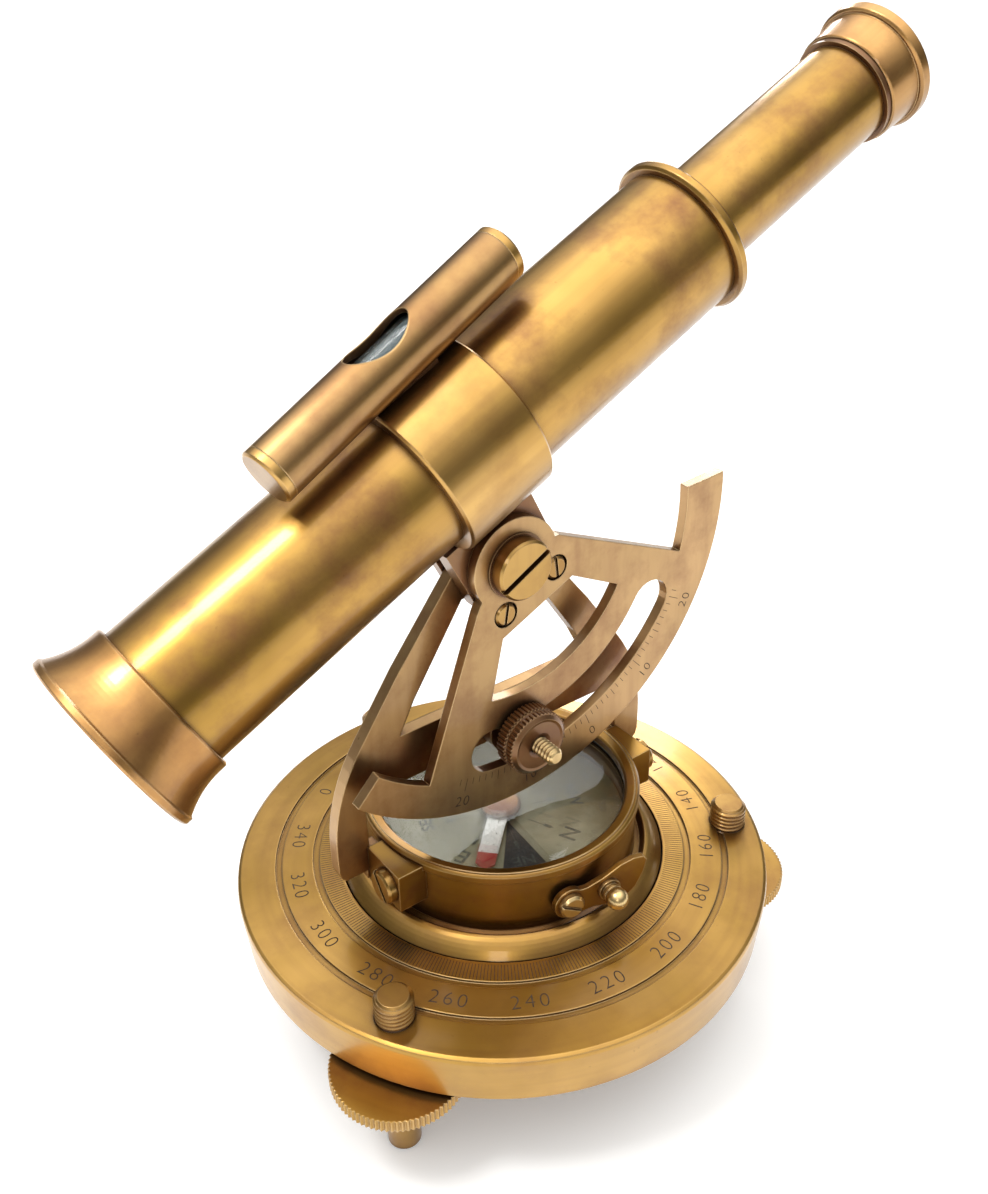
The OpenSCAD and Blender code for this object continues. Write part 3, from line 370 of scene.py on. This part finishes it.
def rubber():
    sh = Shader("gasket_rubber")
    grain = sh.noise(sh.coords, 1200, 4, 0.6)
    sh.link(sh.mix(grain, (0.02, 0.02, 0.018), (0.06, 0.055, 0.045)), sh.bsdf.inputs["Base Color"])
    sh.link(sh.math("ADD", 0.5, sh.math("MULTIPLY", grain, 0.3)), sh.bsdf.inputs["Roughness"])
    sh.link(sh.bump(grain, 0.3, COARSE_DEPTH), sh.bsdf.inputs["Normal"])
    return sh.material


def level_liquid():
    """Dark blue-grey spirit, with a slow change of tone along it."""
    sh = Shader("level_liquid")
    haze = sh.noise(sh.coords, 70, 2, 0.4)
    sh.link(sh.mix(haze, (0.045, 0.065, 0.07), (0.11, 0.14, 0.145)), sh.bsdf.inputs["Base Color"])
    sh.link(sh.math("ADD", 0.06, sh.math("MULTIPLY", haze, 0.06)), sh.bsdf.inputs["Roughness"])
    sh.link(sh.bump(haze, 0.05, COARSE_DEPTH), sh.bsdf.inputs["Normal"])
    sh.set(IOR=1.36)
    return sh.material


# ---- mesh helpers ----

def mesh_object(name, bm, material, smooth=True):
    mesh = bpy.data.meshes.new(name)
    bmesh.ops.recalc_face_normals(bm, faces=bm.faces)
    bm.to_mesh(mesh)
    bm.free()
    mesh.materials.append(material)
    for face in mesh.polygons:
        face.use_smooth = smooth
    obj = bpy.data.objects.new(name, mesh)
    bpy.context.scene.collection.objects.link(obj)
    return obj


def add_bar(bm, matrix, length, width, height):
    """A thin bar from the local origin along +Y, its underside on the local XY plane."""
    half = width / 2
    outline = ((-half, 0), (half, 0), (half, length), (-half, length))
    v = [bm.verts.new(matrix @ Vector((x, y, z))) for z in (0, height) for x, y in outline]
    for face in ((3, 2, 1, 0), (4, 5, 6, 7), (0, 1, 5, 4), (1, 2, 6, 5), (2, 3, 7, 6), (3, 0, 4, 7)):
        bm.faces.new([v[i] for i in face])


def add_text(bm, text, matrix, size, height, thin=0.0, spacing=1.0):
    """Raised lettering centred on the local origin, reading along +X."""
    curve = bpy.data.curves.new("lettering", "FONT")
    curve.body = text
    curve.size = size
    curve.offset = -thin
    curve.space_character = spacing
    curve.align_x = "CENTER"
    curve.align_y = "CENTER"
    curve.extrude = height / 2
    curve.resolution_u = 4
    obj = bpy.data.objects.new("lettering", curve)
    bpy.context.scene.collection.objects.link(obj)
    bpy.context.view_layer.update()
    evaluated = obj.evaluated_get(bpy.context.evaluated_depsgraph_get())
    mesh = bpy.data.meshes.new_from_object(evaluated)
    mesh.transform(matrix @ Matrix.Translation((0, 0, height / 2)))
    bm.from_mesh(mesh)
    bpy.data.objects.remove(obj)
    bpy.data.curves.remove(curve)
    bpy.data.meshes.remove(mesh)


def finish_piece(obj, body):
    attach(obj, body)


# ---- engraving on the base ----

HALF_TURN = Matrix.Rotation(math.pi, 4, "Z")
ENGRAVE_H = 0.03 * MM
TICK_FROM = 31.5 * MM
TICK_TO = 34.8 * MM
TICK_W = 0.11 * MM
LABEL_R = 39.4 * MM
LABEL_SIZE = 3.9 * MM
LABEL_STEP = 20
ZERO_AZIMUTH = 120          # where the circle's 0 stands; the numbers run clockwise


def base_surface(r):
    return RIM_Z + (BASE_R - r) * BASE_CONE


def ring_place(azimuth, r):
    """On the base's cone at that azimuth: local +Y points outwards along the slope, +Z off the face."""
    turn = Matrix.Rotation(math.radians(azimuth - 90), 4, "Z")
    slope = Matrix.Rotation(-math.atan(BASE_CONE), 4, "X")
    return turn @ Matrix.Translation((0, r, base_surface(r))) @ slope


def base_engraving(material):
    bm = bmesh.new()
    sunk = Matrix.Translation((0, 0, -ENGRAVE_H / 2))
    for degree in range(360):
        add_bar(bm, ring_place(degree, TICK_FROM) @ sunk, TICK_TO - TICK_FROM, TICK_W, ENGRAVE_H)
    for label in range(0, 360, LABEL_STEP):
        place = ring_place(ZERO_AZIMUTH - label, LABEL_R) @ sunk @ HALF_TURN
        add_text(bm, str(label), place, LABEL_SIZE, ENGRAVE_H, thin=0.07 * MM, spacing=1.25)
    finish_piece(mesh_object("base_engraving", bm, material, False), "base")


# ---- engraving on the sector ----

LIMB_IN = 40.6 * MM          # inner ends of the sector's ticks
LIMB_TICK_STEP = 1.95        # degrees between ticks, as the photo shows them
LIMB_TICKS = 21              # ticks on each side of 0
LIMB_TICK_W = 0.10 * MM
TENS_TICK = 2.6 * MM
FIVES_TICK = 1.9 * MM
ONES_TICK = 1.3 * MM
LIMB_LABEL_R = 45.3 * MM
LIMB_LABEL_SIZE = 2.9 * MM
SECTOR_TURN = -3.7           # degrees from the tube's square line to the sector's 0


def sector_place(angle, r, front_y):
    """On the sector's front face: local +Y points away from the pivot, +Z towards the front."""
    down = Matrix.Rotation(-math.radians(angle + SECTOR_TURN), 4, "Y")
    upright = Matrix(((-1, 0, 0, 0), (0, 0, -1, front_y), (0, -1, 0, -r), (0, 0, 0, 1)))
    return telescope_matrix() @ down @ upright


def sector_engraving(material):
    bm = bmesh.new()
    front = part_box("sector_plate")[0].y + ENGRAVE_H / 2
    for tick in range(-LIMB_TICKS, LIMB_TICKS + 1):
        length = TENS_TICK if tick % 10 == 0 else FIVES_TICK if tick % 5 == 0 else ONES_TICK
        place = sector_place(tick * LIMB_TICK_STEP, LIMB_IN, front)
        add_bar(bm, place, length, LIMB_TICK_W, ENGRAVE_H)
    for label in (-20, -10, 0, 10, 20):
        place = sector_place(label * LIMB_TICK_STEP, LIMB_LABEL_R, front) @ HALF_TURN
        add_text(bm, str(abs(label)), place, LIMB_LABEL_SIZE, ENGRAVE_H, thin=0.05 * MM, spacing=1.15)
    finish_piece(mesh_object("sector_engraving", bm, material, False), "telescope")


# ---- dial print ----

DIAL_NORTH = -65             # azimuth of the dial's N
PRINT_H = 0.03 * MM
PRINT_SUNK = 0.005 * MM
DIAL_TICK_R = 22.9 * MM      # outer ends of the dial's ticks
DIAL_TICK_W = 0.12 * MM
DIAL_LONG_TICK = 2.0 * MM
DIAL_SHORT_TICK = 1.1 * MM
DIAL_NUMBER_R = 19.4 * MM
DIAL_NUMBER_SIZE = 1.9 * MM
DIAL_LETTER_R = 14.4 * MM
ONE_LETTER_SIZE = 4.6 * MM
TWO_LETTER_SIZE = 3.4 * MM
POINTS = ("N", "NE", "E", "SE", "S", "SW", "W", "NW")
# lines from the middle to each letter, and the thick stroke near their ends: (from, length, width)
POINTER = (6 * MM, 5.2 * MM, 0.16 * MM)
STROKE = (9.2 * MM, 1.6 * MM, 0.7 * MM)


def dial_face():
    return Matrix.Translation((0, 0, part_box("compass_dial")[1].z - PRINT_SUNK))


def dial_place(bearing, r):
    """On the dial at that bearing and radius: local +Y points away from the middle."""
    turn = Matrix.Rotation(math.radians(DIAL_NORTH - 90 - bearing), 4, "Z")
    return dial_face() @ turn @ Matrix.Translation((0, r, 0))


def dial_print(material):
    bm = bmesh.new()
    for degree in range(0, 360, 2):
        length = DIAL_LONG_TICK if degree % 10 == 0 else DIAL_SHORT_TICK
        add_bar(bm, dial_place(degree, DIAL_TICK_R - length), length, DIAL_TICK_W, PRINT_H)
    for degree in range(0, 360, 30):
        add_text(bm, str(degree), dial_place(degree, DIAL_NUMBER_R), DIAL_NUMBER_SIZE, PRINT_H)
    for index, point in enumerate(POINTS):
        bearing = 45 * index
        size = ONE_LETTER_SIZE if len(point) == 1 else TWO_LETTER_SIZE
        add_text(bm, point, dial_place(bearing, DIAL_LETTER_R), size, PRINT_H, thin=-0.05 * MM)
        for start, length, width in (POINTER, STROKE):
            add_bar(bm, dial_place(bearing, start), length, width, PRINT_H)
    finish_piece(mesh_object("dial_print", bm, material, False), "alidade")


# ---- painted reflection: a black wedge on the dial ----

WEDGE_H = 0.02 * MM
WEDGE_R = 18.6 * MM
WEDGE_FROM = -126            # azimuths of its two sides
WEDGE_TO = -97
WEDGE_TIP = (3.4 * MM, WEDGE_TO - 8)
WEDGE_STEPS = 8


def dial_shade(material):
    """A black wedge on the dial beside the needle: a painted reflection of the frame above."""
    bm = bmesh.new()
    face = dial_face()
    span = WEDGE_TO - WEDGE_FROM
    arc = [(WEDGE_R, WEDGE_FROM + span * k / WEDGE_STEPS) for k in range(WEDGE_STEPS + 1)]
    corners = [(r, math.radians(a)) for r, a in [WEDGE_TIP] + arc]
    outline = [Vector((r * math.cos(a), r * math.sin(a), 0)) for r, a in corners]
    bottom = [bm.verts.new(face @ v) for v in outline]
    top = [bm.verts.new(face @ (v + Vector((0, 0, WEDGE_H)))) for v in outline]
    bm.faces.new(bottom[::-1])
    bm.faces.new(top)
    for i in range(len(outline)):
        k = (i + 1) % len(outline)
        bm.faces.new((bottom[i], bottom[k], top[k], top[i]))
    finish_piece(mesh_object("dial_shade", bm, material, False), "alidade")


# ---- clamp nut with two rows of ridges ----

NUT_BORE_R = 1.72 * MM
RIDGES = 46
RIDGE_DEPTH = 0.34 * MM
NUT_AROUND = 8 * RIDGES      # vertices in each ring
NUT_ANGLES = [2 * math.pi * i / NUT_AROUND for i in range(NUT_AROUND)]
BAND_STEPS = 20              # rings across the ridged band
GROOVE_STEP = 12             # the ring in the middle of the groove between the two rows


def ridge_radius(angle, step, outer):
    """Radius of the ridged band. The second row's ridges stand half a pitch from the first's."""
    half_pitch = math.pi if step > GROOVE_STEP else 0.0
    ridge = 0.5 + 0.5 * math.cos(RIDGES * angle + half_pitch)
    cut = RIDGE_DEPTH * (1 - min(1.0, 1.5 * ridge))
    if abs(step - GROOVE_STEP) <= 1:
        cut = max(cut, 1.2 * RIDGE_DEPTH)
    return outer - cut


def nut_profile(outer, thick):
    """Rings from the back bore over the rim to the front bore: (distance from the back, radii)."""
    band_from, band_to = 0.55 * MM, thick - 0.6 * MM
    back = (
        (0, NUT_BORE_R),
        (0, outer - 1.1 * MM),
        (0.35 * MM, outer - 0.75 * MM),
        (band_from, outer - RIDGE_DEPTH),
    )
    front = (
        (band_to + 0.05 * MM, outer - RIDGE_DEPTH),
        (thick, outer - 1.0 * MM),
        (thick - 0.12 * MM, outer - 1.5 * MM),
        (thick - 0.12 * MM, NUT_BORE_R + 0.7 * MM),
        (thick - 0.3 * MM, NUT_BORE_R),
    )
    profile = [(y, [r] * NUT_AROUND) for y, r in back]
    for step in range(BAND_STEPS + 1):
        y = band_from + (band_to - band_from) * step / BAND_STEPS
        profile.append((y, [ridge_radius(a, step, outer) for a in NUT_ANGLES]))
    return profile + [(y, [r] * NUT_AROUND) for y, r in front]


def knurled_nut(material):
    """Replaces the plain nut: the same size, with two rows of ridges and turned faces."""
    low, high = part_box("clamp_nut")
    centre = Vector(((low.x + high.x) / 2, high.y, (low.z + high.z) / 2))
    bm = bmesh.new()
    rings = []
    for y, radii in nut_profile((high.x - low.x) / 2, high.y - low.y):
        corners = [Vector((r * math.cos(a), -y, r * math.sin(a))) for a, r in zip(NUT_ANGLES, radii)]
        rings.append([bm.verts.new(centre + c) for c in corners])
    for a, b in zip(rings, rings[1:] + rings[:1]):
        for i in range(NUT_AROUND):
            k = (i + 1) % NUT_AROUND
            bm.faces.new((a[i], a[k], b[k], b[i]))
    nut = mesh_object("clamp_nut_knurled", bm, material, False)
    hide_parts("clamp_nut")
    finish_piece(nut, "clamp_nut")


# ---- bubble of the level ----

BUBBLE_HALF = (3.6 * MM, 1.3 * MM, 1.0 * MM)
BUBBLE_SHIFT = (0.6 * MM, 0, 1.45 * MM)     # from the liquid's middle, in the telescope's frame


def level_bubble(material):
    """A flat bubble at the top of the liquid."""
    low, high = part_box("level_fluid")
    turn = telescope_matrix().to_3x3()
    middle = (low + high) / 2 + turn @ Vector(BUBBLE_SHIFT)
    askew = Matrix.Rotation(math.radians(LEVEL_ASKEW), 4, "Z")
    shape = Matrix.Translation(middle) @ turn.to_4x4() @ askew @ Matrix.Diagonal((*BUBBLE_HALF, 1))
    bm = bmesh.new()
    bmesh.ops.create_uvsphere(bm, u_segments=40, v_segments=20, radius=1.0)
    bmesh.ops.transform(bm, matrix=shape, verts=bm.verts)
    finish_piece(mesh_object("level_bubble", bm, material), "telescope")


# ---- finishes on the CAD nodes ----

BRASSES = {
    "tube_brass": dict(grain="tube", seed=1.3),
    "collar_brass": dict(grain="tube", base=WARM_GOLD, warm=(0.64, 0.40, 0.14), patina=0.4, seed=4.1),
    "bell_brass": dict(grain="tube", base=(0.48, 0.25, 0.075), warm=(0.60, 0.35, 0.13),
                       patina=0.5, seed=9.2),
    "level_brass": dict(grain="tube", base=(0.36, 0.205, 0.07), warm=(0.46, 0.28, 0.11),
                        patina=0.6, seed=11.4),
    "turned_brass": dict(grain="turned", patina=0.35, seed=2.2),
    "plate_brass": dict(grain="plate", base=(0.40, 0.25, 0.105), warm=(0.50, 0.31, 0.14),
                        patina=0.6, rough=0.36, seed=3.7),
    "drum_brass": dict(grain="turned", base=(0.27, 0.145, 0.020), warm=(0.36, 0.20, 0.035),
                       patina=0.5, seed=8.3),
    "small_brass": dict(grain="plate", base=(0.36, 0.205, 0.05), warm=(0.48, 0.29, 0.085),
                        edge=0.2 * MM, patina=0.6, rough=0.3, underside_shade=0.3, seed=5.9),
    "bright_brass": dict(grain="plate", base=(0.66, 0.47, 0.19), warm=(0.74, 0.55, 0.26),
                         patina=0.15, rough=0.26, edge=0.18 * MM, dirt_and_shade=0.6, seed=6.4),
    "dark_brass": dict(grain="plate", base=(0.19, 0.10, 0.045), warm=(0.26, 0.145, 0.065),
                       patina=0.6, rough=0.36, edge=0.2 * MM, wear_and_highlight=0.55, seed=7.8),
}

WEARERS = {
    "tube_brass": ("main_tube", "draw_tube", "tube_end_ring"),
    "bell_brass": ("objective_bell", "eyepiece_cup"),
    "level_brass": ("level_tube",),
    "collar_brass": ("collar", "level_caps"),
    "turned_brass": ("base_plate", "turntable", "level_wheel_1", "level_wheel_2", "level_wheel_3"),
    "drum_brass": ("compass_drum", "bezel_ring", "frame_lugs", "lock_lever"),
    "plate_brass": ("a_frame", "sector_plate"),
    "small_brass": ("lug_screws", "frame_screws", "pivot_screw", "pivot_nut", "stud_nut",
                    "sector_screws", "needle_cap", "level_screw_1", "level_screw_2", "level_screw_3"),
    "bright_brass": ("spindle_bush", "spindle", "lock_knob", "lock_shaft", "clamp_stud",
                     "needle_lifter", "draw_bush"),
    "dark_brass": ("lifter_bracket", "clamp_washer", "clamp_nut", "pivot_washer", "clevis",
                   "lens_rings", "eyepiece_ring", "draw_stop", "level_saddle"),
    "bare_steel": ("spindle_washer", "spindle_nut", "needle_post"),
    "window_glass": ("compass_glass", "level_vial"),
    "lens_glass": ("objective_lens", "eye_lens"),
    "needle_steel": ("compass_needle",),
    "level_liquid": ("level_fluid",),
    "gasket_rubber": ("glass_gasket",),
    "dial_silvering": ("compass_dial",),
}


def make_finishes():
    """Every material of the CAD nodes, by name."""
    made = {name: brass(name, **looks) for name, looks in BRASSES.items()}
    made["bare_steel"] = steel()
    made["window_glass"] = glass("window_glass")
    made["lens_glass"] = glass("lens_glass", tint=(0.88, 0.92, 0.98), alpha=0.55, rough=0.01)
    made["needle_steel"] = needle_steel()
    made["level_liquid"] = level_liquid()
    made["gasket_rubber"] = rubber()
    made["dial_silvering"] = dial_paper()
    return made


def dress_nodes(finishes):
    for finish, names in WEARERS.items():
        for name in names:
            for slot in NODES[name].material_slots:
                slot.material = finishes[finish]


# ---- stage, light and camera ----

FLOOR_SIZE = 6.0
FLOOR_GAP = 0.05 * MM        # the feet stand clear of the floor by this much
SKY = ((0.0, 0.03), (0.25, 0.12), (0.5, 0.48), (0.70, 1.1), (0.84, 2.1), (1.0, 2.4))
SKY_TINT = (1.0, 0.99, 0.97)
MIDDLE = (0, 0, 0.08)        # what the lights point at
CAMERA_RIGHT = (0.8018, -0.5977, -0.0166)
CAMERA_FORWARD = (0.5086, 0.6962, -0.5067)
CAMERA_PLACE = (-0.10397, -0.14146, 0.1897)
CAMERA_LENS = 35.95


def floor():
    bm = bmesh.new()
    bmesh.ops.create_grid(bm, x_segments=2, y_segments=2, size=FLOOR_SIZE)
    sh = Shader("floor_paint")
    grain = sh.noise(sh.coords, 12, 3, 0.5)
    sh.link(sh.mix(grain, (0.88, 0.88, 0.875), (0.90, 0.90, 0.895)), sh.bsdf.inputs["Base Color"])
    sh.set(Roughness=0.6, Emission_Color=(1, 1, 1, 1), Emission_Strength=0.2)
    obj = mesh_object("floor", bm, sh.material, False)
    obj.location.z = cad_box[0][2] - FLOOR_GAP


def sky():
    """A soft dome: bright overhead, darker towards the horizon. SKY holds (height, brightness)."""
    world = bpy.data.worlds.new("studio")
    bpy.context.scene.world = world
    world.use_nodes = True
    tree = world.node_tree
    background = tree.nodes["Background"]
    coords = tree.nodes.new("ShaderNodeTexCoord")
    split = tree.nodes.new("ShaderNodeSeparateXYZ")
    ramp = tree.nodes.new("ShaderNodeValToRGB")
    tree.links.new(coords.outputs["Generated"], split.inputs[0])
    tree.links.new(split.outputs[2], ramp.inputs[0])
    tree.links.new(ramp.outputs[0], background.inputs["Color"])
    elements = ramp.color_ramp.elements
    while len(elements) < len(SKY):
        elements.new(0.5)
    for element, (place, value) in zip(elements, SKY):
        element.position = place
        element.color = (*(value * c for c in SKY_TINT), 1)
    background.inputs["Strength"].default_value = 1.0


def area_light(name, place, size, watts, colour=(1, 1, 1)):
    data = bpy.data.lights.new(name, "AREA")
    data.shape = "RECTANGLE"
    data.size, data.size_y = size
    data.energy = watts
    data.color = colour
    obj = bpy.data.objects.new(name, data)
    bpy.context.scene.collection.objects.link(obj)
    obj.location = place
    obj.rotation_euler = (Vector(MIDDLE) - Vector(place)).to_track_quat("-Z", "Y").to_euler()


def lights():
    area_light("key", (-0.30, 0.05, 0.70), size=(0.16, 0.16), watts=2.0)
    area_light("back", (0.45, 0.45, 0.38), size=(0.16, 0.14), watts=0.9)
    area_light("fill", (-0.45, -0.55, 0.40), size=(0.14, 0.14), watts=0.45, colour=(1.0, 0.96, 0.9))


def camera():
    """The photo's view, with the up axis made square to the other two."""
    right = Vector(CAMERA_RIGHT).normalized()
    back = -Vector(CAMERA_FORWARD).normalized()
    up = back.cross(right).normalized()
    right = up.cross(back).normalized()
    data = bpy.data.cameras.new("view")
    data.lens = CAMERA_LENS
    data.sensor_width = 36
    data.clip_start = 0.005
    data.clip_end = 50
    obj = bpy.data.objects.new("view", data)
    bpy.context.scene.collection.objects.link(obj)
    turn = Matrix((right, up, back)).transposed().to_4x4()
    obj.matrix_world = Matrix.Translation(CAMERA_PLACE) @ turn
    bpy.context.scene.camera = obj


bpy.context.scene.view_settings.view_transform = "Standard"
camera()
floor()
sky()
lights()
finishes = make_finishes()
dress_nodes(finishes)
filler = ink("engraving_filler")
base_engraving(filler)
sector_engraving(filler)
dial_print(ink("dial_print_ink", (0.03, 0.035, 0.03), 0.6, 0.0))
dial_shade(ink("painted_reflection_black", (0.004, 0.004, 0.003), 0.5, 0.0))
knurled_nut(finishes["dark_brass"])
level_bubble(finishes["window_glass"])
